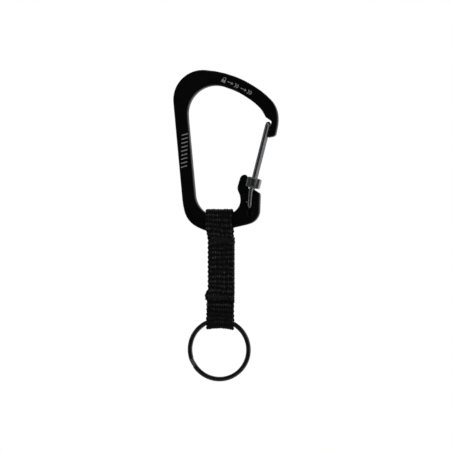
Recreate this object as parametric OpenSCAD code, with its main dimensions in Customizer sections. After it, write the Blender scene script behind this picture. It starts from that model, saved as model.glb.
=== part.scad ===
// Carabiner keyring: a flat plate carabiner with a wire gate and a sliding gate lock, a short strap
// of sewn webbing round its lower bar, and a split ring in the strap's lower loop.
// X runs across the plate, Y through its thickness (front is -Y) and Z up.
// The origin is the centre of the round seat inside the plate's top corner, from which it hangs.

/* [Plate] */
// Thickness of the plate
plate_t = 5.6; // [5:0.1:6.2]
// Thickness left where the gate wire straddles the plate
tang_t = 2.4; // [2:0.1:2.6]
// Radius of the hanging seat inside the top corner
seat_r = 13.9; // [13.8:0.1:14.1]
// Radius of the gate's pivot hole
pivot_hole_r = 1.2; // [1.2:0.01:1.24]
// How far the gate may swing inwards before its legs meet the shoulder of the recess
gate_room = 22; // [20:1:24]

/* [Gate wire] */
// Diameter of the wire
wire_d = 2.3; // [2.1:0.1:2.3]
// Lean of the gate from the vertical, above its knee
gate_lean = 14.3; // [14:0.1:14.6]
// Lean of the short stretch below the knee
foot_lean = 4.3; // [4:0.1:5]
// Centreline radius of the bends that join the legs to the crossbar
crossbar_bend_r = 1.6; // [1.5:0.1:2]
// Centreline radius of the knee
knee_r = 8; // [4:0.5:9]

/* [Slide lock] */
// Width across the gate
lock_w = 6.4; // [6.2:0.1:6.6]
// Height along the gate
lock_h = 5.2; // [4.6:0.1:5.2]
// Thickness through the plate
lock_t = 8.6; // [8.4:0.1:9]
// Radius of its front corners
lock_corner_r = 0.9; // [0.5:0.1:1.2]
// Thickness of the web that joins its two halves, outside the gate
lock_web = 1; // [0.8:0.1:1.1]

/* [Webbing] */
// Width of the webbing
web_w = 12.8; // [12.7:0.1:13.2]
// Thickness of one layer
web_t = 1.2; // [1:0.1:1.3]
// Width of the sewn bar tacks
tack_w = 10.5; // [8:0.5:11]
// Height of the sewn bar tacks
tack_h = 2; // [1.5:0.1:2.5]

/* [Key ring] */
// Outside diameter of the split ring
ring_od = 31.75; // [31.5:0.05:32]
// Inside diameter of the split ring
ring_id = 27.3; // [27:0.05:27.6]
// Thickness of its two turns together
ring_t = 2.2; // [2:0.1:2.3]

/* [Hidden] */
$fn = 48;
past = 1;                 // how far a cut runs past the face it opens
arc_step = 6;             // degrees between the points of a rounded corner

// Places on the plate, as [x, z]
pivot_at = [17.3, -46.85];
crossbar_at = [26.5, -5.55];
lock_at = [19.04, -34.8];
bar_top = -49.2;          // just above the lower bar where the strap crosses it

// Clearances
face_gap = 0.1;           // between the legs and the tang, each side
fork_gap = 0.15;          // between the lock's halves and the tang, each side
wire_gap = 0.05;          // round the wire in the lock
bar_gap = 0.15;           // between the strap's top loop and the bar
ring_gap = 0.2;           // between the strap's bottom loop and the ring

wire_r = wire_d / 2;
leg_y = tang_t / 2 + face_gap + wire_r;
foot_r = leg_y - tang_t / 2;      // centreline bend of the feet that turn into the pivot hole
pin_gap = 0.1;                    // half the gap between the two feet inside the hole
bead_proud = 0.02;
strap_x = 2.4;                    // centre of the strap across the plate
ring_at = [1.75, -118.05];

// Corners of the plate's outline, clockwise from the top left, as [x, z, corner radius]
outer_corners = [
    [-22.76, 22.93, 14.8], [2.72, 21, 50.6], [14.43, 16.45, 39.8], [24.07, 10.5, 39],
    [30.79, 3.4, 13], [31.7, -4.2, 19.2], [30.13, -11.6, 1.8], [26.13, -12.43, 0.5]
];
hook_corners = [[27.33, -6.9, 0.4], [28.44, -4.5, 0.7], [25.41, -2.3, 0.5]];
window_corners = [
    [23.29, 1.5, 8.2], [19.75, 5.15, 31.8], [10.01, 11.45, 33], [-15.79, 18.89, 14.7],
    [-9.81, -44.9, 11.5], [-4.86, -50.2, 7.8], [8.48, -51.17, 8.4], [13.69, -44.3, 6.6]
];
finger_corners = [
    [10.82, -37.6, 4], [12.74, -31.23, 2.5], [15.23, -30.41, 1.3], [16.66, -32.75, 1],
    [16.51, -38.03, 0.5]
];
post_corners = [
    [18.72, -37.68, 0.8], [22.51, -40.11, 1.7], [22.11, -53.4, 7], [16.25, -55.55, 20],
    [-2.77, -59.85, 14.4], [-14.03, -54.4, 12.1], [-16.3, -46.05, 34]
];
outline_corners = concat(outer_corners, hook_corners, window_corners, finger_corners, post_corners);

// Edge of the gate's recess, to be crossed only by the legs and the lock
recess_margin = 0.35;
recess_side = wire_r + recess_margin;
recess_tail = 3.4;        // how far the recess runs on below the pivot
shoulder_z = -41.6;       // the recess opens to the whole finger above this
post_step_z = -40.1;      // and to the post's top above this
shoulder_rise = [0.8, 0.9];   // how far each of these two steps slopes up, outwards
recess_x = [8, 24];       // past the finger's and the post's outer edges
recess_top_z = -28;       // past the finger's tip
recess_corner_r = 1;
nose_from = [-6, -9];     // the nose's recess, from the crossbar and square to the gate
nose_size = [8, 9.4];

// Slide lock, across the gate from its own centre
window_w = 1.5;           // the face windows are narrower than the wire, which holds it in
window_foot = 0.8;
window_head = 0.6;

// Strap: heights of its bends and of the ends of its layers
strap_bend_z = -61.8;
loop_foot_z = -59.7;
layers_top_z = strap_bend_z + 0.7;
layers_end_z = -93.2;     // the front layer's cut end, below which there are two layers
two_layers_end_z = -99.1;
ring_bend_z = -101.2;
open_below = 5;           // how far the bar's section is drawn on below the loop's foot
bar_edge_r = 0.2;
loop_edge_r = 1.6;
throat_r = 1.5;           // outside of the lower loop where its two layers meet
pinch_r = 0.3;            // and its inside
pinch_drop = 0.1;
ring_room_z = [-103.2, -105.3];   // centres of the lower loop's rounds, round the ring
tack_z = [-63.4, -91.8];
tack_proud = 0.35;
stitches = 7;
stitch_w = 0.5;
stitch_room = 0.03;

// Split ring: where each turn of its wire ends, in degrees, and the slit there
ring_ends = [200, 215];
ring_slit = 0.6;
ring_groove = 0.12;
ring_corner_cut = 0.35;

function turn(v, a) = [v.x * cos(a) - v.y * sin(a), v.x * sin(a) + v.y * cos(a)];
function unit(v) = v / norm(v);

// One rounded corner of a path, from the corner before it and the corner after it
function rounded_corner(before, corner, after) =
    let (
        p = [corner.x, corner.y],
        u = unit([before.x, before.y] - p),
        w = unit([after.x, after.y] - p),
        half = acos(u * w) / 2,
        r = corner[2],
        centre = p + unit(u + w) * r / sin(half),
        start = p + u * r / tan(half) - centre,
        sweep = (180 - 2 * half) * (u.x * w.y - u.y * w.x > 0 ? -1 : 1),
        steps = max(2, ceil(abs(sweep) / arc_step))
    )
    [for (i = [0 : steps]) centre + turn(start, sweep * i / steps)];

function rounded_path(corners) =
    let (n = len(corners))
    [for (i = [0 : n - 1])
        each rounded_corner(corners[(i + n - 1) % n], corners[i], corners[(i + 1) % n])];

// Extrudes a shape drawn in X and Z, centred on the plate
module through(thickness) {
    rotate([90, 0, 0])
        linear_extrude(thickness, center = true)
            children();
}

// Cuts both faces of the plate down to the tang
module both_faces() {
    depth = (plate_t - tang_t) / 2 + past;
    for (side = [-1, 1])
        translate([0, side * (tang_t / 2 + depth / 2), 0])
            through(depth)
                children();
}

module gate_recess() {
    foot = pivot_at + [0, -recess_tail];
    opened = turn([0, 1], gate_room - foot_lean);
    closed = turn([0, 1], -foot_lean);
    left = pivot_at + turn(opened, 90) * recess_side;
    right = pivot_at - turn(closed, 90) * recess_side;
    left_top = left + opened * (shoulder_z - left.y) / opened.y;
    right_top = right + closed * (post_step_z - right.y) / closed.y;
    polygon(rounded_path([
        [foot.x - recess_side, foot.y - recess_side, recess_side * 0.95],
        [left.x, left.y, recess_corner_r],
        [left_top.x, left_top.y, recess_corner_r],
        [recess_x[0], shoulder_z + shoulder_rise[0], recess_corner_r],
        [recess_x[0], recess_top_z, recess_corner_r],
        [recess_x[1], recess_top_z, recess_corner_r],
        [recess_x[1], post_step_z + shoulder_rise[1], recess_corner_r],
        [right_top.x, right_top.y, recess_corner_r],
        [right.x, right.y, recess_corner_r],
        [foot.x + recess_side, foot.y - recess_side, recess_side * 0.95],
    ]));
}

module nose_recess() {
    translate(crossbar_at)
        rotate(-gate_lean)
            translate(nose_from)
                square(nose_size);
}

module carabiner_frame() {
    color("#1b1b1d")
        difference() {
            through(plate_t)
                polygon(rounded_path(outline_corners));
            rotate([90, 0, 0])
                cylinder(r = seat_r, h = plate_t + 2 * past, center = true, $fn = 96);
            both_faces()
                gate_recess();
            both_faces()
                nose_recess();
            translate([pivot_at.x, 0, pivot_at.y])
                rotate([90, 0, 0])
                    cylinder(r = pivot_hole_r, h = tang_t + 2 * past, center = true);
        }
}

// A straight stretch of wire between two points of one leg, with a bead where each bend begins
module wire_run(from, to) {
    run = to - from;
    translate([from.x, -leg_y, from.y])
        rotate([0, atan2(run.x, run.y), 0]) {
            cylinder(d = wire_d, h = norm(run));
            wire_bead();
            translate([0, 0, norm(run)])
                wire_bead();
        }
}

// Joins two stretches of wire; it stands too little proud to be felt
module wire_bead() {
    sphere(d = wire_d + 2 * bead_proud);
}

// A bend of the wire in the plane of Y and Z, about the X axis
module wire_elbow(r, from) {
    rotate([90, 0, 90])
        rotate([0, 0, from])
            rotate_extrude(angle = 90)
                translate([r, 0])
                    circle(d = wire_d);
}

module gate_leg() {
    up_gate = [sin(gate_lean), cos(gate_lean)];
    up_foot = [sin(foot_lean), cos(foot_lean)];
    knee_turn = gate_lean - foot_lean;
    // where the two straight stretches would meet
    reach = cross(crossbar_at - pivot_at, up_gate) / cross(up_foot, up_gate);
    knee = pivot_at + up_foot * reach;
    knee_run = knee_r * tan(knee_turn / 2);
    knee_centre = knee - up_foot * knee_run + knee_r * [up_foot.y, -up_foot.x];
    wire_run(pivot_at + up_foot * foot_r, knee - up_foot * knee_run);
    wire_run(knee + up_gate * knee_run, crossbar_at - up_gate * crossbar_bend_r);
    translate([knee_centre.x, -leg_y, knee_centre.y])
        rotate([90, 0, 0])
            rotate([0, 0, 180 - gate_lean])
                rotate_extrude(angle = knee_turn)
                    translate([knee_r, 0])
                        circle(d = wire_d);
    translate([pivot_at.x, 0, pivot_at.y])
        rotate([0, foot_lean, 0]) {
            translate([0, foot_r - leg_y, foot_r])
                wire_elbow(foot_r, 180);
            translate([0, -pin_gap, 0])
                rotate([90, 0, 0])
                    cylinder(d = wire_d, h = leg_y - foot_r - pin_gap);
            translate([0, foot_r - leg_y, 0])
                wire_bead();
        }
    translate([crossbar_at.x, 0, crossbar_at.y])
        rotate([0, gate_lean, 0])
            translate([0, crossbar_bend_r - leg_y, -crossbar_bend_r]) {
                wire_elbow(crossbar_bend_r, 90);
                translate([0, 0, crossbar_bend_r])
                    wire_bead();
            }
}

module gate_wire() {
    color("#8d9094") {
        gate_leg();
        mirror([0, 1, 0])
            gate_leg();
        translate([crossbar_at.x, 0, crossbar_at.y])
            rotate([90, 0, 0])
                cylinder(d = wire_d, h = 2 * (leg_y - crossbar_bend_r), center = true);
    }
}

module slide_lock() {
    fork_half = tang_t / 2 + fork_gap;
    fork_end = lock_w / 2 - lock_web;
    window_h = lock_h - window_foot - window_head;
    face = [[-1, -1], [-1, 1], [1, 1], [1, -1]];
    color("#4a4c50")
        translate([lock_at.x, 0, lock_at.y])
            rotate([0, gate_lean, 0])
                difference() {
                    through(lock_t)
                        polygon(rounded_path([for (c = face)
                            [c.x * lock_w / 2, c.y * lock_h / 2, lock_corner_r]]));
                    translate([-lock_w, -fork_half, -lock_h])
                        cube([lock_w + fork_end, 2 * fork_half, 2 * lock_h]);
                    for (side = [-1, 1]) {
                        translate([0, side * leg_y, 0])
                            cylinder(r = wire_r + wire_gap, h = 2 * lock_h, center = true);
                        translate([0, side * lock_t / 2, (window_foot - window_head) / 2])
                            cube([window_w, lock_t - 2 * leg_y, window_h], center = true);
                    }
                }
}

// Extrudes a shape drawn in Y and Z over the strap's width
module across_strap() {
    translate([strap_x, 0, 0])
        rotate([90, 0, 90])
            linear_extrude(web_w, center = true)
                children();
}

// Section of the plate's lower bar, or of the strap round it, open at the loop's foot
module bar_section(grown, corner_r) {
    half = plate_t / 2 + bar_gap + grown;
    polygon(rounded_path([
        [-half, loop_foot_z - open_below, corner_r],
        [-half, bar_top + grown, corner_r],
        [half, bar_top + grown, corner_r],
        [half, loop_foot_z - open_below, corner_r],
    ]));
}

module webbing_top_loop() {
    color("#232427")
        across_strap()
            difference() {
                bar_section(web_t, loop_edge_r);
                bar_section(0, bar_edge_r);
                translate([-plate_t, loop_foot_z - 2 * open_below])
                    square([2 * plate_t, 2 * open_below]);
            }
}

// The stitches' legs through the layers, in the strap's own width
module stitch_legs(z, room) {
    pitch = (tack_w - 2 * stitch_w) / (stitches - 1);
    for (i = [0 : stitches - 1])
        translate([strap_x + (i - (stitches - 1) / 2) * pitch, 0, z])
            cube([stitch_w + 2 * room, 8, stitch_w + 2 * room], center = true);
}

module webbing_middle() {
    color("#202123")
        difference() {
            across_strap() {
                translate([-1.5 * web_t, layers_end_z])
                    square([3 * web_t, layers_top_z - layers_end_z]);
                translate([-web_t, two_layers_end_z])
                    square([2 * web_t, layers_end_z - two_layers_end_z + 0.5]);
            }
            for (z = tack_z)
                stitch_legs(z, stitch_room);
        }
}

module bar_tack(z) {
    pad_y = 1.5 * web_t + tack_proud / 2;
    color("#2e2f32") {
        for (side = [-1, 1])
            translate([strap_x, side * pad_y, z])
                cube([tack_w, tack_proud, tack_h], center = true);
        intersection() {
            stitch_legs(z, 0);
            translate([strap_x, 0, z])
                cube([tack_w, 2 * pad_y, tack_h], center = true);
        }
    }
}

module upper_bar_tack() {
    bar_tack(tack_z[0]);
}

module lower_bar_tack() {
    bar_tack(tack_z[1]);
}

module webbing_bottom_loop() {
    half = ring_t / 2 + ring_gap;
    color("#202123")
        across_strap()
            difference() {
                hull() {
                    translate([0, ring_bend_z])
                        circle(throat_r);
                    for (z = ring_room_z)
                        translate([0, z])
                            circle(half + web_t);
                }
                hull() {
                    translate([0, ring_bend_z - pinch_drop])
                        circle(pinch_r);
                    for (z = ring_room_z)
                        translate([0, z])
                            circle(half);
                }
            }
}

// The ring's section: two turns of flat wire with a groove between them, their corners taken off
module ring_section() {
    width = (ring_od - ring_id) / 2;
    t = ring_t / 2;
    cut = ring_corner_cut;
    groove = ring_groove;
    quarter = [[width - groove, 0], [width, groove], [width, t - cut], [width - cut, t]];
    back = [for (i = [3 : -1 : 0]) [width - quarter[i].x, quarter[i].y]];
    half = concat(quarter, back);
    polygon(concat(half, [for (i = [6 : -1 : 1]) [half[i].x, -half[i].y]]));
}

module key_ring() {
    slit = ring_slit;
    color("#161617")
        translate([ring_at.x, 0, ring_at.y])
            rotate([90, 0, 0])
                difference() {
                    rotate_extrude($fn = 96)
                        translate([ring_id / 2, 0])
                            ring_section();
                    for (side = [-1, 1])
                        rotate([0, 0, ring_ends[side > 0 ? 0 : 1]])
                            translate([ring_id / 2 - past, -slit / 2, side > 0 ? 0 : -ring_t])
                                cube([ring_od / 2, slit, ring_t]);
                }
}

carabiner_frame();
gate_wire();
slide_lock();
webbing_top_loop();
webbing_middle();
webbing_bottom_loop();
upper_bar_tack();
lower_bar_tack();
key_ring();
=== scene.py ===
"""The looks of a carabiner keyring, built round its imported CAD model. Metres, +Z up, -Y front."""
import math

import bmesh
import bpy
import numpy as np
from mathutils import Matrix, Vector


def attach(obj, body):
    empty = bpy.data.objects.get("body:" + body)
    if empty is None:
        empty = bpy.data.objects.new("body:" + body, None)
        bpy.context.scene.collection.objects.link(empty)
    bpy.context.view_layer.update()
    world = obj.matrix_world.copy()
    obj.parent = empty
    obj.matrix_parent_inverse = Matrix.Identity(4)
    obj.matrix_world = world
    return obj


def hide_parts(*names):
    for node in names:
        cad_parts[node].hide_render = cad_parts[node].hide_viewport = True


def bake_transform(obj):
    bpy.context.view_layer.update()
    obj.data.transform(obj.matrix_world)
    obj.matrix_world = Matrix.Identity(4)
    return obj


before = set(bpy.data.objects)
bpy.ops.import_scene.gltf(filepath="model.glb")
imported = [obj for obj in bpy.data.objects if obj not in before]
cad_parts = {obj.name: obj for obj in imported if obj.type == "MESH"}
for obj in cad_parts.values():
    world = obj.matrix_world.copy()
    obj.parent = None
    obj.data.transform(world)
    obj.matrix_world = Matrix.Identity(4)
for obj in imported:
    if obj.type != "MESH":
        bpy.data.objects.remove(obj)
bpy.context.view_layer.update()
MM = 0.001
RNG = np.random.default_rng(7)

# Places and sizes that the parts share, in millimetres, as [x, z] on the plate
PLATE_HALF = 2.8
TANG_HALF = 1.2
PIVOT = (17.3, -46.85)
CROSSBAR = (26.5, -5.55)
LOCK = (19.04, -34.8)
WIRE_R = 1.15
LEG_Y = TANG_HALF + 0.1 + WIRE_R
GATE_LEAN = math.radians(14.3)
FOOT_LEAN = math.radians(4.3)
RING_CENTRE = (1.75, -118.05)
RING_OD, RING_ID = 31.75, 27.3


# ---------------------------------------------------------------- meshes
def new_object(name, verts, faces, smooth=True):
    """A mesh object from points in millimetres."""
    mesh = bpy.data.meshes.new(name)
    mesh.from_pydata([tuple(c * MM for c in v) for v in verts], [], faces)
    mesh.validate()
    bm = bmesh.new()
    bm.from_mesh(mesh)
    bmesh.ops.recalc_face_normals(bm, faces=bm.faces)
    bm.to_mesh(mesh)
    bm.free()
    mesh.polygons.foreach_set("use_smooth", [smooth] * len(mesh.polygons))
    obj = bpy.data.objects.new(name, mesh)
    bpy.context.scene.collection.objects.link(obj)
    return obj


def grid_faces(rows, cols, wrap_cols=False, start=0):
    """Quads over a grid of points stored row by row."""
    faces = []
    last = cols if wrap_cols else cols - 1
    for r in range(rows - 1):
        for c in range(last):
            d = (c + 1) % cols
            a, b = start + r * cols, start + (r + 1) * cols
            faces.append((a + c, a + d, b + d, b + c))
    return faces


def tube(path, radius, sides=24, capped=True):
    """Points and faces of a tube along a path; radius may be one number or one per point."""
    path = np.array(path, float)
    radii = np.broadcast_to(radius, len(path))
    tangents = np.gradient(path, axis=0)
    tangents /= np.linalg.norm(tangents, axis=1)[:, None]
    normal = np.cross(tangents[0], (0.3, 0.5, 0.8))
    rings = []
    for point, tangent, r in zip(path, tangents, radii):
        normal = normal - tangent * normal.dot(tangent)
        normal /= np.linalg.norm(normal)
        other = np.cross(tangent, normal)
        turn = np.arange(sides) / sides * 2 * math.pi
        rings.append(point + r * (np.outer(np.cos(turn), normal) + np.outer(np.sin(turn), other)))
    verts = np.concatenate(rings)
    faces = grid_faces(len(path), sides, wrap_cols=True)
    if capped:
        faces.append(tuple(range(sides)))
        faces.append(tuple(len(verts) - 1 - i for i in range(sides)))
    return verts, faces


def merged(parts):
    """Several (verts, faces) pairs as one."""
    verts, faces, start = [], [], 0
    for v, f in parts:
        verts.extend(map(tuple, v))
        faces.extend(tuple(i + start for i in face) for face in f)
        start += len(v)
    return verts, faces


def arc(centre, radius, begin, end, steps):
    """Points of an arc in a plane, angles in degrees."""
    return [
        (
            centre[0] + radius * math.cos(math.radians(begin + (end - begin) * i / steps)),
            centre[1] + radius * math.sin(math.radians(begin + (end - begin) * i / steps)),
        )
        for i in range(steps + 1)
    ]


def smoothstep(t):
    t = np.clip(t, 0, 1)
    return t * t * (3 - 2 * t)


# ---------------------------------------------------------------- materials
class Shader:
    """A Principled material and the nodes that feed it."""

    def __init__(self, name, colour, roughness, metallic=0.0):
        self.material = bpy.data.materials.new(name)
        self.material.use_nodes = True
        self.tree = self.material.node_tree
        self.shader = self.tree.nodes["Principled BSDF"]
        self.set(**{"Base Color": (*colour, 1), "Roughness": roughness, "Metallic": metallic})
        self.place = self.add("ShaderNodeTexCoord").outputs["Object"]

    def set(self, **values):
        for key, value in values.items():
            self.shader.inputs[key.replace("_", " ")].default_value = value

    def add(self, kind, **values):
        node = self.tree.nodes.new(kind)
        for key, value in values.items():
            setattr(node, key, value)
        return node

    def link(self, source, target):
        self.tree.links.new(source, target)

    def stretched(self, scale, turn=(0, 0, 0)):
        node = self.add("ShaderNodeMapping")
        node.inputs["Scale"].default_value = scale
        node.inputs["Rotation"].default_value = turn
        self.link(self.place, node.inputs["Vector"])
        return node.outputs["Vector"]

    def noise(self, scale, detail=3.0, vector=None, roughness=0.55):
        node = self.add("ShaderNodeTexNoise")
        node.inputs["Scale"].default_value = scale
        node.inputs["Detail"].default_value = detail
        node.inputs["Roughness"].default_value = roughness
        self.link(vector or self.place, node.inputs["Vector"])
        return node.outputs["Fac"]

    def ramp(self, source, stops):
        """Colours or greys at places from 0 to 1."""
        node = self.add("ShaderNodeValToRGB")
        elements = node.color_ramp.elements
        while len(elements) < len(stops):
            elements.new(0.5)
        for element, (place, value) in zip(elements, stops):
            element.position = place
            element.color = (*value, 1) if isinstance(value, tuple) else (value, value, value, 1)
        self.link(source, node.inputs["Fac"])
        return node.outputs["Color"]

    def bump(self, height, distance, strength=1.0):
        """Adds a bump over those there are; distance in millimetres."""
        node = self.add("ShaderNodeBump")
        node.inputs["Strength"].default_value = strength
        node.inputs["Distance"].default_value = distance * MM
        self.link(height, node.inputs["Height"])
        before = self.shader.inputs["Normal"]
        if before.is_linked:
            self.link(before.links[0].from_socket, node.inputs["Normal"])
        self.link(node.outputs["Normal"], before)


def anodised_black():
    s = Shader("anodised_black", (0.0035, 0.0035, 0.004), 0.36)
    s.set(**{"Specular IOR Level": 0.35})
    grain = s.noise(5200, 2)
    cloud = s.noise(180, 4)
    s.link(s.ramp(cloud, [(0.3, 0.31), (0.7, 0.42)]), s.shader.inputs["Roughness"])
    s.link(s.ramp(cloud, [(0.35, (0.0028, 0.0028, 0.0032)), (0.65, (0.0045, 0.0045, 0.005))]),
           s.shader.inputs["Base Color"])
    s.bump(grain, 0.004, 0.5)
    return s.material


def drawn_steel():
    s = Shader("drawn_steel", (0.36, 0.37, 0.385), 0.3, 1.0)
    along = s.stretched((1.0, 1.0, 0.03), (0, GATE_LEAN, 0))
    scratches = s.noise(9000, 2, along)
    cloud = s.noise(400, 3)
    s.link(s.ramp(scratches, [(0.35, 0.22), (0.65, 0.38)]), s.shader.inputs["Roughness"])
    s.link(s.ramp(cloud, [(0.35, (0.25, 0.26, 0.27)), (0.65, (0.35, 0.36, 0.375))]),
           s.shader.inputs["Base Color"])
    s.bump(scratches, 0.003, 0.4)
    return s.material


def lock_finish():
    s = Shader("lock_finish", (0.16, 0.165, 0.175), 0.34, 0.85)
    s.set(**{"Specular IOR Level": 0.6, "Coat Weight": 0.25, "Coat Roughness": 0.18})
    cloud = s.noise(500, 3)
    s.link(s.ramp(cloud, [(0.3, 0.26), (0.7, 0.37)]), s.shader.inputs["Roughness"])
    s.link(s.ramp(cloud, [(0.3, (0.30, 0.305, 0.315)), (0.7, (0.38, 0.385, 0.395))]),
           s.shader.inputs["Base Color"])
    s.bump(s.noise(6000, 2), 0.003, 0.4)
    return s.material


def nylon(name, dark, light, painted_rib_shade_on=False):
    s = Shader(name, light, 0.62)
    s.set(**{"Sheen Weight": 0.04, "Sheen Roughness": 0.45, "Specular IOR Level": 0.18})
    fibres = s.noise(9000, 2, s.stretched((1.0, 1.0, 0.12)))
    yarns = s.noise(1100, 2)
    colour = s.ramp(yarns, [(0.3, dark), (0.7, light)])
    if painted_rib_shade_on:
        # painted shade: the stored per-point rib shade darkens the base colour in the hollows
        # between ribs and yarns and leaves it light on the rib tops
        painted_rib_shade = s.add("ShaderNodeAttribute", attribute_name="painted_rib_shade").outputs["Fac"]
        shade = s.ramp(painted_rib_shade, [(0.15, 0.035), (0.55, 0.25), (0.95, 1.0)])
        mix = s.add("ShaderNodeMix", data_type="RGBA", blend_type="MULTIPLY")
        mix.inputs["Factor"].default_value = 1.0
        s.link(colour, mix.inputs["A"])
        s.link(shade, mix.inputs["B"])
        colour = mix.outputs["Result"]
    s.link(colour, s.shader.inputs["Base Color"])
    s.link(s.ramp(fibres, [(0.3, 0.5), (0.7, 0.75)]), s.shader.inputs["Roughness"])
    s.bump(fibres, 0.03, 0.6)
    return s.material


def ring_gloss():
    s = Shader("ring_gloss", (0.2, 0.2, 0.205), 0.18, 1.0)
    cloud = s.noise(350, 3)
    s.link(s.ramp(cloud, [(0.3, 0.12), (0.7, 0.22)]), s.shader.inputs["Roughness"])
    s.link(s.ramp(cloud, [(0.3, (0.14, 0.14, 0.145)), (0.7, (0.20, 0.20, 0.205))]),
           s.shader.inputs["Base Color"])
    s.bump(s.noise(900, 2), 0.004, 0.25)
    return s.material


# pale matte laser print on the plate; also used on the bare dot, where its pale colour is a painted
# highlight for the metal's glint
def laser_mark_and_painted_glint():
    s = Shader("laser_mark_and_painted_glint", (0.7, 0.7, 0.7), 0.7)
    speckle = s.noise(7000, 2)
    s.link(s.ramp(speckle, [(0.3, (0.58, 0.58, 0.59)), (0.7, (0.80, 0.80, 0.81))]),
           s.shader.inputs["Base Color"])
    s.bump(speckle, 0.004, 0.5)
    return s.material


def dress(obj, material, slot, body=None, *nodes):
    """Gives a piece its material and body, and hides the CAD nodes it stands for."""
    obj.data.materials.clear()
    obj.data.materials.append(material)
    if body:
        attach(obj, body)
    if nodes:
        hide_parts(*nodes)
    return obj


# ---------------------------------------------------------------- carabiner plate
def rim_bevels(bm):
    """The plate's edges in three sets: outline, thin parts' outline, and the recess's rims."""
    outline, thin, rims = [], [], []
    level_gap = 0.1        # how far apart in y an edge's ends may be
    hole_reach = 1.3       # the pivot hole's edge stays sharp
    for e in bm.edges:
        if len(e.link_faces) != 2 or e.calc_face_angle(0) < math.radians(50):
            continue
        y = [v.co.y / MM for v in e.verts]
        if abs(y[0] - y[1]) > level_gap:
            continue
        level = abs(y[0])
        spans = [[v.co.y / MM for v in f.verts] for f in e.link_faces]
        ys = max(spans, key=lambda span: max(span) - min(span))      # the wall's
        full = max(ys) > TANG_HALF / 2 and min(ys) < -TANG_HALF / 2
        if level > PLATE_HALF - level_gap:
            (outline if full else rims).append(e)
        elif full and e.calc_face_angle_signed(0) > 0:
            middle = (e.verts[0].co + e.verts[1].co) / 2 / MM
            if math.hypot(middle.x - PIVOT[0], middle.z - PIVOT[1]) > hole_reach:
                thin.append(e)
    return outline, thin, rims


def crossing(face, longest):
    """The widest short loop where a face's edge line crosses itself: (corners in it, the point)."""
    points = [Vector((v.co.x, v.co.z)) for v in face.verts]
    n = len(points)
    for span in range(longest, 1, -1):
        for i in range(n):
            j = (i + span) % n
            a, c = points[i], points[j]
            r, s = points[(i + 1) % n] - a, points[(j + 1) % n] - c
            det = r.cross(s)
            if abs(det) < 1e-16:
                continue
            t, u = (c - a).cross(s) / det, (c - a).cross(r) / det
            if 0 < t < 1 and 0 < u < 1:
                return [(i + 1 + k) % n for k in range(span)], a + r * t
    return None


def untangle(bm):
    """Pulls the small loops that a bevel leaves at tight corners together into mitres."""
    most_loops, many_corners, longest_loop = 40, 40, 14
    for _ in range(most_loops):
        for face in [f for f in bm.faces if len(f.verts) > many_corners]:
            found = crossing(face, longest_loop)
            if found:
                verts = [face.verts[k] for k in found[0]]
                at = (found[1].x, verts[0].co.y, found[1].y)
                bmesh.ops.pointmerge(bm, verts=verts, merge_co=at)
                bmesh.ops.dissolve_degenerate(bm, dist=1e-7, edges=bm.edges)
                break
        else:
            return


def plate():
    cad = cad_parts["carabiner_frame"]
    bm = bmesh.new()
    bm.from_mesh(cad.data)
    bmesh.ops.remove_doubles(bm, verts=bm.verts, dist=2e-6)
    bmesh.ops.dissolve_limit(bm, angle_limit=math.radians(1), verts=bm.verts, edges=bm.edges)
    bmesh.ops.recalc_face_normals(bm, faces=bm.faces)
    for which, size in enumerate((0.7, 0.35, 0.12)):      # outline, thin parts, rims
        edges = rim_bevels(bm)[which]
        bmesh.ops.bevel(bm, geom=edges, offset=size * MM, offset_type="OFFSET",
                        segments=5 - which, profile=0.5, affect="EDGES", clamp_overlap=False)
        untangle(bm)
    bmesh.ops.triangulate(bm, faces=[f for f in bm.faces if len(f.verts) > 4])
    mesh = bpy.data.meshes.new("plate")
    bm.to_mesh(mesh)
    bm.free()
    mesh.polygons.foreach_set("use_smooth", [True] * len(mesh.polygons))
    obj = bpy.data.objects.new("plate", mesh)
    bpy.context.scene.collection.objects.link(obj)
    sharp = obj.modifiers.new("sharp", "WEIGHTED_NORMAL")
    sharp.keep_sharp = True
    mesh.set_sharp_from_angle(angle=math.radians(35))
    return obj


# ---------------------------------------------------------------- gate wire
def gate_path():
    """The wire's centreline from the front foot over the crossbar to the back foot."""
    up_gate = np.array([math.sin(GATE_LEAN), 0, math.cos(GATE_LEAN)])
    up_foot = np.array([math.sin(FOOT_LEAN), 0, math.cos(FOOT_LEAN)])
    pivot = np.array([PIVOT[0], 0, PIVOT[1]])
    crossbar = np.array([CROSSBAR[0], 0, CROSSBAR[1]])
    foot_r, top_r, knee_r = LEG_Y - TANG_HALF, 1.6, 8.0
    span = crossbar - pivot
    reach = (span[0] * up_gate[2] - span[2] * up_gate[0]) / (
        up_foot[0] * up_gate[2] - up_foot[2] * up_gate[0])
    knee = pivot + up_foot * reach
    half = []
    half.append(pivot + (0, -0.12, 0))
    for y, z in arc((foot_r - LEG_Y, foot_r), foot_r, 270, 180, 10):
        half.append(pivot + up_foot * z + (0, y, 0))
    run = knee_r * math.tan((GATE_LEAN - FOOT_LEAN) / 2)
    centre = knee - up_foot * run + knee_r * np.array([up_foot[2], 0, -up_foot[0]])
    for t in np.linspace(FOOT_LEAN, GATE_LEAN, 7):
        half.append(centre + knee_r * np.array([-math.cos(t), 0, math.sin(t)]) + (0, -LEG_Y, 0))
    for y, z in arc((top_r - LEG_Y, -top_r), top_r, 180, 90, 10):
        half.append(crossbar + up_gate * z + (0, y, 0))
    back = [p * (1, -1, 1) for p in reversed(half)]
    return half + back


def dense(path, step):
    """The same path with a point at least every step."""
    out = [np.array(path[0])]
    for a, b in zip(path, path[1:]):
        n = max(1, int(np.linalg.norm(np.array(b) - a) / step))
        out += [a + (b - a) * i / n for i in range(1, n + 1)]
    return out


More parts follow.
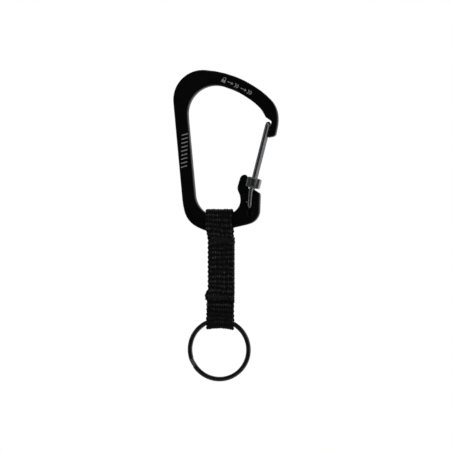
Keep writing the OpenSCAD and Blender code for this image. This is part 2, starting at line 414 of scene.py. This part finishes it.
def gate():
    path = dense(gate_path(), 0.8)
    foot_wire_r, foot_top = 1.19, -40.0      # the wire fills the pivot hole
    radii = np.array([foot_wire_r if abs(p[1]) < TANG_HALF - 0.02 and p[2] < foot_top else WIRE_R
                      for p in path])
    return new_object("gate_wire_bent", *tube(path, radii, 32))


# ---------------------------------------------------------------- key ring
def ring_strand(begin, end, y_at, name):
    """One length of the ring's flat wire, its section rounded, between two angles in degrees."""
    radial, mean_r = (RING_OD - RING_ID) / 4, (RING_OD + RING_ID) / 4
    thick, corner = 0.54, 0.52
    broad = 1.6            # the rounded edges are broader than they are deep
    section = []
    for sx, sy, a0 in ((1, 1, 0), (-1, 1, 90), (-1, -1, 180), (1, -1, 270)):
        for u, v in arc((0, 0), corner, a0, a0 + 90, 7):
            section.append((sx * (radial - corner * broad) + u * broad, sy * (thick - corner) + v))
    steps = int(abs(end - begin) / 2)
    verts = []
    for i in range(steps + 1):
        a = begin + (end - begin) * i / steps
        at = math.radians(a)
        shrink = 1.0 - 0.10 * (i in (0, steps))
        for u, v in section:
            rr = mean_r + u * shrink
            verts.append((RING_CENTRE[0] + rr * math.cos(at), y_at(a) - v * shrink,
                          RING_CENTRE[1] + rr * math.sin(at)))
    cols = len(section)
    faces = grid_faces(steps + 1, cols, wrap_cols=True)
    faces.append(tuple(range(cols)))
    faces.append(tuple(len(verts) - 1 - i for i in range(cols)))
    return new_object(name, verts, faces)


def key_ring():
    """Two turns of flat wire: the front one crosses to the back over a short stretch."""
    begin, cross, turn_y = 214.0, 16.0, 0.555

    def y_at(a):
        t = smoothstep((a - (begin + 360 - cross)) / cross)
        return -turn_y + 2 * turn_y * float(t)

    return ring_strand(begin, begin + 720 - cross, y_at, "split_ring")


# ---------------------------------------------------------------- slide lock
LOCK_HALF_W, LOCK_HALF_H = 3.2, 2.6


def lock_place():
    """From the lock's own axes (across, through, along the gate) to the plate's, in metres."""
    c, s = math.cos(GATE_LEAN), math.sin(GATE_LEAN)
    turn = Matrix(((c, 0, s), (0, 1, 0), (-s, 0, c))).to_4x4()
    return Matrix.Translation((LOCK[0] * MM, 0, LOCK[1] * MM)) @ turn


def lock_section():
    """The lock's C-shaped section across the gate, as [u, y]; open to the left."""
    left, right, half, slot, web = -LOCK_HALF_W, 3.4, 4.3, 1.35, 2.2
    points = []
    points += arc((right - 0.5, -half + 0.5), 0.5, -90, 0, 6)
    points += arc((right - 0.5, half - 0.5), 0.5, 0, 90, 6)
    points += arc((left + 0.8, half - 0.8), 0.8, 90, 180, 6)
    points += arc((left + 0.2, slot + 0.2), 0.2, 180, 270, 3)
    points += arc((web - 0.4, slot - 0.4), 0.4, 90, 0, 4)
    points += arc((web - 0.4, -slot + 0.4), 0.4, 0, -90, 4)
    points += arc((left + 0.2, -slot - 0.2), 0.2, 90, 180, 3)
    points += arc((left + 0.8, -half + 0.8), 0.8, 180, 270, 6)
    # close enough together for the faces to take a crown
    dense_points = []
    for a, b in zip(points, points[1:] + points[:1]):
        n = max(1, int(math.dist(a, b) / 0.35))
        dense_points += [(a[0] + (b[0] - a[0]) * i / n, a[1] + (b[1] - a[1]) * i / n)
                         for i in range(n)]
    return dense_points


def slide_lock():
    half_h, edge, crown_h = LOCK_HALF_H, 0.55, 0.22
    section = lock_section()
    heights = [-half_h + edge - edge * math.cos(math.radians(t)) for t in range(0, 91, 15)]
    insets = [edge - edge * math.sin(math.radians(t)) for t in range(0, 91, 15)]
    rows = list(zip(heights, insets))
    rows += [(z, 0) for z in np.linspace(-half_h + edge, half_h - edge, 9)[1:-1]]
    rows += [(-z, i) for z, i in reversed(list(zip(heights, insets)))]
    verts = []
    for z, inset in rows:
        for u, y in section:
            side = max(0.0, (abs(y) - 1.6) / 2.7)
            shrink_u = 1 - inset / LOCK_HALF_W
            corner = max(0.0, abs(u) - 2.4) / 0.8
            pad = min(1.0, ((abs(u) - 1.95) / 1.2) ** 2)
            uu = u * shrink_u
            yy = y - math.copysign(inset * side, y)
            crown = crown_h * (1 - (z / half_h) ** 2) * side
            yy -= math.copysign(crown_h * side, y) - math.copysign(crown, y)
            # the right pad leans back to a flat edge, so it catches the light from the right
            lean = 0.48 * max(0.0, min(u, 2.2) - 0.9)
            yy -= math.copysign(((0.24 if u < 0 else 0.06) * pad + lean) * side, y)
            zz = z * (1 - 0.05 * corner)
            verts.append((uu, yy, zz))
    cols = len(section)
    faces = grid_faces(len(rows), cols, wrap_cols=True)
    faces.append(tuple(range(cols)))
    faces.append(tuple(len(verts) - 1 - i for i in range(cols)))
    body = new_object("lock_body", verts, faces)
    cutters = []
    for side in (-1, 1):
        path = [(0.0, side * LEG_Y, z) for z in np.linspace(-5, 5, 11)]
        cutters.append(new_object("cut_bore", *tube(path, WIRE_R + 0.06, 32)))
        mouth = [(2.2, 0.0), (3.6, 0.0), (3.8, 0.04), (3.97, 0.13), (4.4, 0.45)]
        verts = []
        for y, flare in mouth:
            w, lo, hi, r = 0.68 + flare, -1.8 - flare, 2.0 + flare, 0.3
            for sx, z, a0 in ((1, hi, 0), (-1, hi, 90), (-1, lo, 180), (1, lo, 270)):
                sz = 1 if z == hi else -1
                for u, v in arc((sx * (w - r), z - sz * r), r, a0, a0 + 90, 5):
                    verts.append((u, side * y, v))
        cols = len(verts) // len(mouth)
        faces = grid_faces(len(mouth), cols, wrap_cols=True)
        faces.append(tuple(range(cols)))
        faces.append(tuple(len(verts) - 1 - i for i in range(cols)))
        cutters.append(new_object("cut_window", verts, faces))
    for cutter in cutters:
        cut = body.modifiers.new("cut", "BOOLEAN")
        cut.object, cut.operation, cut.solver = cutter, "DIFFERENCE", "EXACT"
        bake(body)
        bpy.data.objects.remove(cutter)
    body.data.transform(lock_place())
    smooth_by_angle(body, 35)
    return body


def bake(obj):
    """Applies an object's modifiers to its mesh."""
    bpy.context.view_layer.update()
    evaluated = obj.evaluated_get(bpy.context.evaluated_depsgraph_get())
    mesh = bpy.data.meshes.new_from_object(evaluated)
    obj.modifiers.clear()
    obj.data = mesh


def smooth_by_angle(obj, degrees):
    mesh = obj.data
    mesh.polygons.foreach_set("use_smooth", [True] * len(mesh.polygons))
    mesh.set_sharp_from_angle(angle=math.radians(degrees))
    if "weights" not in obj.modifiers:
        weights = obj.modifiers.new("weights", "WEIGHTED_NORMAL")
        weights.keep_sharp = True


# ---------------------------------------------------------------- webbing
PLY = 1.2          # thickness of one layer
ROW = 2.4          # one rib of the weave
YARNS = 12
RIB_TOP = 0.42     # height that counts as a full rib
STRAND_GAP = 0.17  # how far the edge of the weave goes in and out


def resample(path, step):
    """A path of (y, z) points, evenly spaced."""
    path = np.array(path, float)
    run = np.concatenate([[0], np.cumsum(np.linalg.norm(np.diff(path, axis=0), axis=1))])
    n = max(2, int(round(run[-1] / step)) + 1)
    at = np.linspace(0, run[-1], n)
    return at, np.stack([np.interp(at, run, path[:, 0]), np.interp(at, run, path[:, 1])], 1)


def soften(points, times):
    """Rounds a path's corners, its ends held."""
    for _ in range(times):
        inner = (points[:-2] + 2 * points[1:-1] + points[2:]) / 4
        points = np.concatenate([points[:1], inner, points[-1:]])
    return points


def webbing_strip(name, path, edges, row_start=0.0, melted=(False, False), lift=None):
    """A woven strip whose centreline runs through (y, z) points.
    edges(s, z, y) gives its left and right edges in x; lift(x, z) moves a point up."""
    step = 0.24
    at, line = resample(path, step)
    line = soften(line, 6)
    tangent = np.gradient(line, axis=0)
    tangent /= np.linalg.norm(tangent, axis=1)[:, None]
    normal = np.stack([-tangent[:, 1], tangent[:, 0]], 1)
    per = 6
    across = np.linspace(-1, 1, YARNS * per + 1)
    length = at[-1]
    wander = 0.05 * RNG.standard_normal(YARNS)
    ribs = int(length / ROW) + 3
    tension = 1 + 0.16 * RNG.standard_normal(YARNS) + 0.28 * RNG.standard_normal((ribs, YARNS))
    tension = np.clip(tension * (1 + 0.16 * RNG.standard_normal((ribs, 1))), 0.35, 1.3)
    sway = 0.16 * soften(RNG.standard_normal((ribs, YARNS)).T, 2).T
    fray = RNG.random(YARNS)
    painted_shade_per_point = []
    verts = []
    for s, (y, z), n in zip(at, line, normal):
        left, right = edges(s, z, y)
        mid, half = (left + right) / 2, (right - left) / 2
        phase = (s + row_start) / ROW
        end_near = min(s, length - s)
        which = 0 if s < length - s else 1
        melt = math.exp(-((end_near / 0.45) ** 2)) if melted[which] else 0.0
        darker_near_ring = 1 - 0.4 * float(smoothstep((-95.0 - z) / 3.0))    # scales the rib shade values down below z -95, so the strip's colour is darker near the ring
        slant = 0.20 * math.sin(s / 4.7) + 0.10 * math.sin(s / 2.9 + 1.0)
        row = min(ribs - 1, int(phase))
        swaying = sway[row] + (sway[min(ribs - 1, row + 1)] - sway[row]) * (phase - int(phase))
        scallop = STRAND_GAP * math.cos(2 * math.pi * phase) * (1 - melt)
        half_here = half - STRAND_GAP + scallop
        for face in (1, -1):
            order = across if face > 0 else across[::-1]
            for q in order:
                place = (q + 1) / 2 * YARNS
                yarn = min(YARNS - 1, int(place))
                inside = place - yarn
                across_bump = math.sin(math.pi * min(1, max(0, inside))) ** 0.8
                here = phase + wander[yarn] + swaying[yarn] + slant * q * face
                rib = (0.5 + 0.5 * math.cos(2 * math.pi * here)) ** 1.3
                low_rib = (0.5 - 0.5 * math.cos(2 * math.pi * here)) ** 2
                pull = tension[min(ribs - 1, max(0, round(here))), yarn]
                height = rib * (0.10 + 0.30 * across_bump * pull)
                height += low_rib * 0.16 * across_bump * (yarn % 2)
                burr = melt * across_bump * fray[yarn]
                top = min(1.0, height / RIB_TOP) * darker_near_ring
                # painted shade per point: 0 in the hollows between ribs (painted darkest), 1 on the
                # rib tops (painted lightest); a melted end is painted mid-dark and its burrs
                # lighter, as painted highlights
                painted_shade_per_point.append(top * (1 - melt) + 0.3 * melt + 0.7 * burr)
                edge = max(0.0, (abs(q) - 0.93) / 0.07)
                body = (PLY / 2 - 0.34) * math.sqrt(max(0.0, 1 - 0.85 * edge ** 2))
                thick = body + height * (1 - 0.7 * edge) * (1 - melt) + 0.12 * melt + 0.22 * burr
                if end_near < 0.05 and melted[which]:
                    thick *= 0.8
                x = mid + half_here * q
                yy, zz = y + n[0] * thick * face, z + n[1] * thick * face
                if lift:
                    zz += lift(q, zz)
                verts.append((x, yy, zz))
    cols = 2 * len(across)
    faces = grid_faces(len(at), cols, wrap_cols=True)
    faces.append(tuple(range(cols)))
    faces.append(tuple(len(verts) - 1 - i for i in range(cols)))
    strip = new_object(name, verts, faces)
    # the painted shade values go on the strip as a point attribute for its material
    painted_rib_shade = strip.data.attributes.new("painted_rib_shade", "FLOAT", "POINT")
    painted_rib_shade.data.foreach_set("value", painted_shade_per_point)
    return strip, length


def ramp_between(z, table):
    """A value that follows z through (z, value) pairs, smoothly."""
    table = sorted(table)
    zs, vs = [t[0] for t in table], [t[1] for t in table]
    if z <= zs[0]:
        return vs[0]
    for i in range(len(zs) - 1):
        if z <= zs[i + 1]:
            t = (z - zs[i]) / (zs[i + 1] - zs[i])
            return vs[i] + (vs[i + 1] - vs[i]) * t * t * (3 - 2 * t)
    return vs[-1]


# The edges of the layers in x, as (z, x)
FRONT_LEFT = [(-48.0, -4.75), (-58.0, -4.75), (-60.5, -4.2), (-63.5, -3.95), (-87.5, -3.95),
              (-90.5, -5.4), (-93.5, -5.35)]
FRONT_RIGHT = [(-48.0, 8.65), (-60.5, 8.9), (-63.5, 9.6), (-88.0, 9.65), (-93.5, 9.3)]
MIDDLE_LEFT = [(-62.0, -3.6), (-90.0, -3.6), (-93.2, -4.7), (-108.0, -4.7)]
MIDDLE_RIGHT = [(-61.9, 9.9), (-64.2, 9.85), (-66.5, 9.6), (-93.0, 9.6), (-96.0, 9.3),
                (-108.0, 9.2)]


def spread(z):
    """How far from the middle the outer plies are, where they open out over the bar."""
    return 1.2 + 2.35 * float(smoothstep((z + 63.4) / 5.1))


def upper_path():
    points = [(-1.2, z) for z in np.arange(-93.2, -64, 1.0)]
    points += [(-spread(z), z) for z in np.arange(-64, -58.4, 0.4)]
    points += [(-3.55, z) for z in np.arange(-58.2, -50.0, 0.5)]
    points += arc((-2.25, -49.65), 1.3, 180, 90, 8)
    points += arc((2.25, -49.65), 1.3, 90, 0, 8)
    points += [(3.55, z) for z in np.arange(-50.2, -58.4, -0.5)]
    points += [(spread(z), z) for z in np.arange(-58.6, -64.0, -0.4)]
    points += [(1.2, z) for z in np.arange(-64.2, -91.8, -1.0)]
    points.append((1.2, -91.8))
    return points


def loop_half(z):
    """Where the lower loop's plies are: together above, apart round the ring."""
    t = float(smoothstep((-99.1 - z) / 4.1))
    return 0.6 + 1.3 * t


def lower_path():
    points = [(0.0, z) for z in np.arange(-62.0, -92.2, -1.0)]
    for z in np.arange(-92.4, -95.8, -0.4):
        points.append((-0.6 * float(smoothstep((-92.6 - z) / 3.0)), z))
    points += [(-loop_half(z), z) for z in np.arange(-96.0, -105.9, -0.4)]
    points += [(y, z) for y, z in arc((0, -106.0), 1.9, 180, 360, 20)]
    points += [(loop_half(z), z) for z in np.arange(-105.8, -95.8, 0.4)]
    for z in np.arange(-95.6, -92.2, 0.4):
        points.append((0.6 + 0.6 * float(smoothstep((z + 95.6) / 3.0)), z))
    points.append((1.2, -91.85))
    return points


def webbing():
    def upper_edges(s, z, y):
        left, right = ramp_between(z, FRONT_LEFT), ramp_between(z, FRONT_RIGHT)
        if y > 0:
            left, right = max(left, -4.5), min(right, 9.5)
        return left, right

    def lower_edges(s, z, y):
        if y > 0 and z > -95:
            return -3.6, 9.45
        return ramp_between(z, MIDDLE_LEFT), ramp_between(z, MIDDLE_RIGHT)

    def curved_foot(q, z):
        return 0.7 * (1 - q * q) * float(smoothstep((-99.0 - z) / 7.0))

    upper, length_a = webbing_strip("strap_upper", upper_path(), upper_edges, 0.3, (True, False))
    lower, length_b = webbing_strip("strap_lower", lower_path(), lower_edges, 0.0, (True, False),
                                    curved_foot)
    print("webbing length", round(length_a + length_b, 1))
    return upper, lower


# ---------------------------------------------------------------- bar tacks
def bar_tack(name, z, left, right, y_out, reach=1.0):
    """A dense zigzag of thread across the strap, front and back."""
    parts = []
    count, thread = 25, 0.215
    for side in (-1, 1):
        for i in range(count):
            x = left + (right - left) * (i + 0.5) / count
            slant = 0.16 + 0.05 * RNG.standard_normal()
            tall = reach + 0.05 * RNG.standard_normal()
            path = []
            for t in np.linspace(-1, 1, 13):
                dip = max(0.0, abs(t) - 0.82) / 0.18
                out = y_out + 0.18 * math.cos(t * math.pi / 2) ** 0.6 - 0.55 * dip
                path.append((x + slant * t, side * out, z + tall * t))
            parts.append(tube(path, thread, 10))
        for row in (-0.45 * reach, 0.45 * reach):
            path = [(x, side * (y_out - 0.05), z + row)
                    for x in np.linspace(left + 0.2, right - 0.2, 30)]
            parts.append(tube(path, thread, 8))
    return new_object(name, *merged(parts))


# ---------------------------------------------------------------- marks on the plate
def outline_mesh(loops, name, y=-PLATE_HALF):
    """Flat raised shapes from closed loops of [x, z] points."""
    verts, faces = [], []
    for loop in loops:
        start, n = len(verts), len(loop)
        for depth in (0.012, -0.02):
            verts += [(x, y + depth, z) for x, z in loop]
        faces.append(tuple(start + n + i for i in range(n)))
        for i in range(n):
            j = (i + 1) % n
            faces.append((start + i, start + j, start + n + j, start + n + i))
    return new_object(name, verts, faces, smooth=False)


def stroke(points, width):
    """A closed loop round a line of points."""
    points = np.array(points, float)
    tangent = np.gradient(points, axis=0)
    tangent /= np.linalg.norm(tangent, axis=1)[:, None]
    side = np.stack([-tangent[:, 1], tangent[:, 0]], 1) * width / 2
    return list(map(tuple, points + side)) + list(map(tuple, (points - side)[::-1]))


def placed(loops, at, degrees, size=1.0):
    c, s = math.cos(math.radians(degrees)), math.sin(math.radians(degrees))
    return [[(at[0] + size * (x * c - z * s), at[1] + size * (x * s + z * c)) for x, z in loop]
            for loop in loops]


def padlock_sign():
    shackle = stroke(arc((0, 0.35), 0.55, 0, 180, 14), 0.26)
    legs = [stroke([(x, 0.0), (x, 0.2), (x, 0.4)], 0.26) for x in (-0.55, 0.55)]
    return [shackle, *legs, [(-0.85, 0.0), (0.85, 0.0), (0.85, -1.15), (-0.85, -1.15)]]


def arrow_sign():
    return [[(-1.3, 0.16), (0.35, 0.16), (0.35, 0.62), (1.3, 0), (0.35, -0.62), (0.35, -0.16),
             (-1.3, -0.16)]]


def chevron_sign():
    return [[(x, 0.8), (x + 0.45, 0.8), (x + 1.05, 0), (x + 0.45, -0.8), (x, -0.8), (x + 0.6, 0)]
            for x in (-1.3, -0.35)]


def marks():
    lean = -27
    start = Vector((4.4, 16.7))
    along = Vector((math.cos(math.radians(lean)), math.sin(math.radians(lean))))
    signs = [(padlock_sign(), 0.3), (arrow_sign(), 3.9), (chevron_sign(), 7.7),
             (arrow_sign(), 11.3), (chevron_sign(), 15.0)]
    loops = []
    for sign, far in signs:
        loops += placed(sign, start + along * far, lean, 1.25)
    for i in range(9):
        middle = Vector((-15.2 - 0.05 * i, -10.6 - 2.0 * i))
        loops += placed([stroke([(-1.55, -0.45), (0, 0), (1.55, 0.45)], 0.52)], middle, 0)
    return outline_mesh(loops, "etched_marks")


def bare_dot():
    """A small bare-metal dot beside the wire's foot, low enough for the wire to pass over. Its pale
    colour, from the mark material, is a painted highlight for the metal's glint.
    """
    turns, (x, z) = 32, (15.9, -44.4)
    rings = [(0.0, -0.06), (0.25, -0.055), (0.45, -0.035), (0.55, 0.02)]
    verts, faces = [(x, -TANG_HALF + rings[0][1], z)], []
    for r, y in rings[1:]:
        verts += [(x + r * math.cos(a), -TANG_HALF + y, z + r * math.sin(a))
                  for a in np.arange(turns) / turns * 2 * math.pi]
    faces += [(0, 1 + i, 1 + (i + 1) % turns) for i in range(turns)]
    faces += grid_faces(len(rings) - 1, turns, wrap_cols=True, start=1)
    return new_object("bare_dot", verts, faces)


# ---------------------------------------------------------------- the object
BLACK, STEEL, LOCK_GREY = anodised_black(), drawn_steel(), lock_finish()
WEB = nylon("webbing_nylon", (0.055, 0.055, 0.058), (0.190, 0.190, 0.198), painted_rib_shade_on=True)
THREAD = nylon("thread_nylon", (0.024, 0.024, 0.026), (0.044, 0.044, 0.046))
GLOSS, MARK_AND_GLINT = ring_gloss(), laser_mark_and_painted_glint()

dress(plate(), BLACK, "anodised_frame", "frame", "carabiner_frame")
dress(marks(), MARK_AND_GLINT, "anodised_frame", "frame")
dress(gate(), STEEL, "gate_steel", "gate", "gate_wire")
dress(slide_lock(), LOCK_GREY, "lock_body", "lock", "slide_lock")
strap_upper, strap_lower = webbing()
dress(strap_upper, WEB, "webbing", None, "webbing_top_loop")
dress(strap_lower, WEB, "webbing", None, "webbing_middle", "webbing_bottom_loop")
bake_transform(strap_upper)
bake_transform(strap_lower)
tack_upper = bar_tack("tack_upper", -63.4, -2.3, 8.2, 1.84)
tack_lower = bar_tack("tack_lower", -91.8, -3.4, 6.2, 1.80, 0.7)
dress(tack_upper, THREAD, "thread", "strap", "upper_bar_tack")
dress(tack_lower, THREAD, "thread", "strap", "lower_bar_tack")
dress(key_ring(), GLOSS, "black_ring", "ring", "key_ring")
# the bare dot's pale mark material is a painted highlight standing in for the glint of bare metal
dress(bare_dot(), MARK_AND_GLINT, "anodised_frame", "frame")


# ---------------------------------------------------------------- studio
YAW = math.radians(8)      # the camera stands a little to the right of straight ahead


def turned(x, y, z):
    """A place seen from the camera: x to its right, y away from it."""
    return (x * math.cos(YAW) - y * math.sin(YAW), x * math.sin(YAW) + y * math.cos(YAW), z)


def area(name, place, aim, size, power, spread_deg=180):
    light = bpy.data.lights.new(name, "AREA")
    light.shape = "RECTANGLE"
    light.size, light.size_y = size
    light.energy = power
    light.spread = math.radians(spread_deg)
    obj = bpy.data.objects.new(name, light)
    place = turned(*place)
    obj.location = place
    obj.rotation_euler = (Vector(aim) - Vector(place)).to_track_quat("-Z", "Y").to_euler()
    bpy.context.scene.collection.objects.link(obj)
    return obj


def studio():
    scene = bpy.context.scene
    scene.view_settings.view_transform = "Standard"
    world = bpy.data.worlds.new("studio")
    scene.world = world
    world.use_nodes = True
    tree = world.node_tree
    tree.nodes.clear()
    out = tree.nodes.new("ShaderNodeOutputWorld")
    mix = tree.nodes.new("ShaderNodeMixShader")
    path = tree.nodes.new("ShaderNodeLightPath")
    dim, white = tree.nodes.new("ShaderNodeBackground"), tree.nodes.new("ShaderNodeBackground")
    dim.inputs["Color"].default_value = (1, 1, 1, 1)
    # the white sweep behind the object lights the walls that are seen at a glance
    sky = tree.nodes.new("ShaderNodeTexCoord")
    split = tree.nodes.new("ShaderNodeSeparateXYZ")
    behind = tree.nodes.new("ShaderNodeMapRange")
    for end, value in (("From Min", 0.1), ("From Max", 0.85), ("To Min", 0.03), ("To Max", 0.6)):
        behind.inputs[end].default_value = value
    tree.links.new(sky.outputs["Generated"], split.inputs["Vector"])
    tree.links.new(split.outputs["Y"], behind.inputs["Value"])
    tree.links.new(behind.outputs["Result"], dim.inputs["Strength"])
    white.inputs["Color"].default_value = (1, 1, 1, 1)
    white.inputs["Strength"].default_value = 1.0
    tree.links.new(path.outputs["Is Camera Ray"], mix.inputs["Fac"])
    tree.links.new(dim.outputs[0], mix.inputs[1])
    tree.links.new(white.outputs[0], mix.inputs[2])
    tree.links.new(mix.outputs[0], out.inputs["Surface"])

    centre = (0.005, 0, -0.056)
    area("left_soft", (-0.42, -0.17, 0.0), centre, (0.16, 0.5), 0.18)
    area("right_soft", (0.42, -0.13, 0.0), centre, (0.46, 0.5), 0.45)
    area("front_right_strip", (0.27, -0.36, 0.0), centre, (0.06, 0.45), 0.045)
    area("top_soft", (0.0, -0.22, 0.42), centre, (0.5, 0.12), 0.30)

    turns = 96
    floor_r, floor_z = 300, -216
    verts = [(0, 0, floor_z)] + [(floor_r * math.cos(a), floor_r * math.sin(a), floor_z)
                                 for a in np.arange(turns) / turns * 2 * math.pi]
    floor = new_object("floor", verts, [(0, 1 + i, 1 + (i + 1) % turns) for i in range(turns)])
    s = Shader("floor_pale", (0.8, 0.8, 0.8), 0.7)
    s.link(s.ramp(s.noise(40, 3), [(0.3, (0.78, 0.78, 0.78)), (0.7, (0.82, 0.82, 0.82))]),
           s.shader.inputs["Base Color"])
    floor.data.materials.append(s.material)

    camera_data = bpy.data.cameras.new("camera")
    camera_data.lens, camera_data.sensor_width = 135, 36
    camera = bpy.data.objects.new("camera", camera_data)
    camera.location = turned(0.00515, -0.113 / (18 / 135), -0.0563)
    camera.rotation_euler = (math.radians(90), 0, YAW)
    bpy.context.scene.collection.objects.link(camera)
    scene.camera = camera


studio()
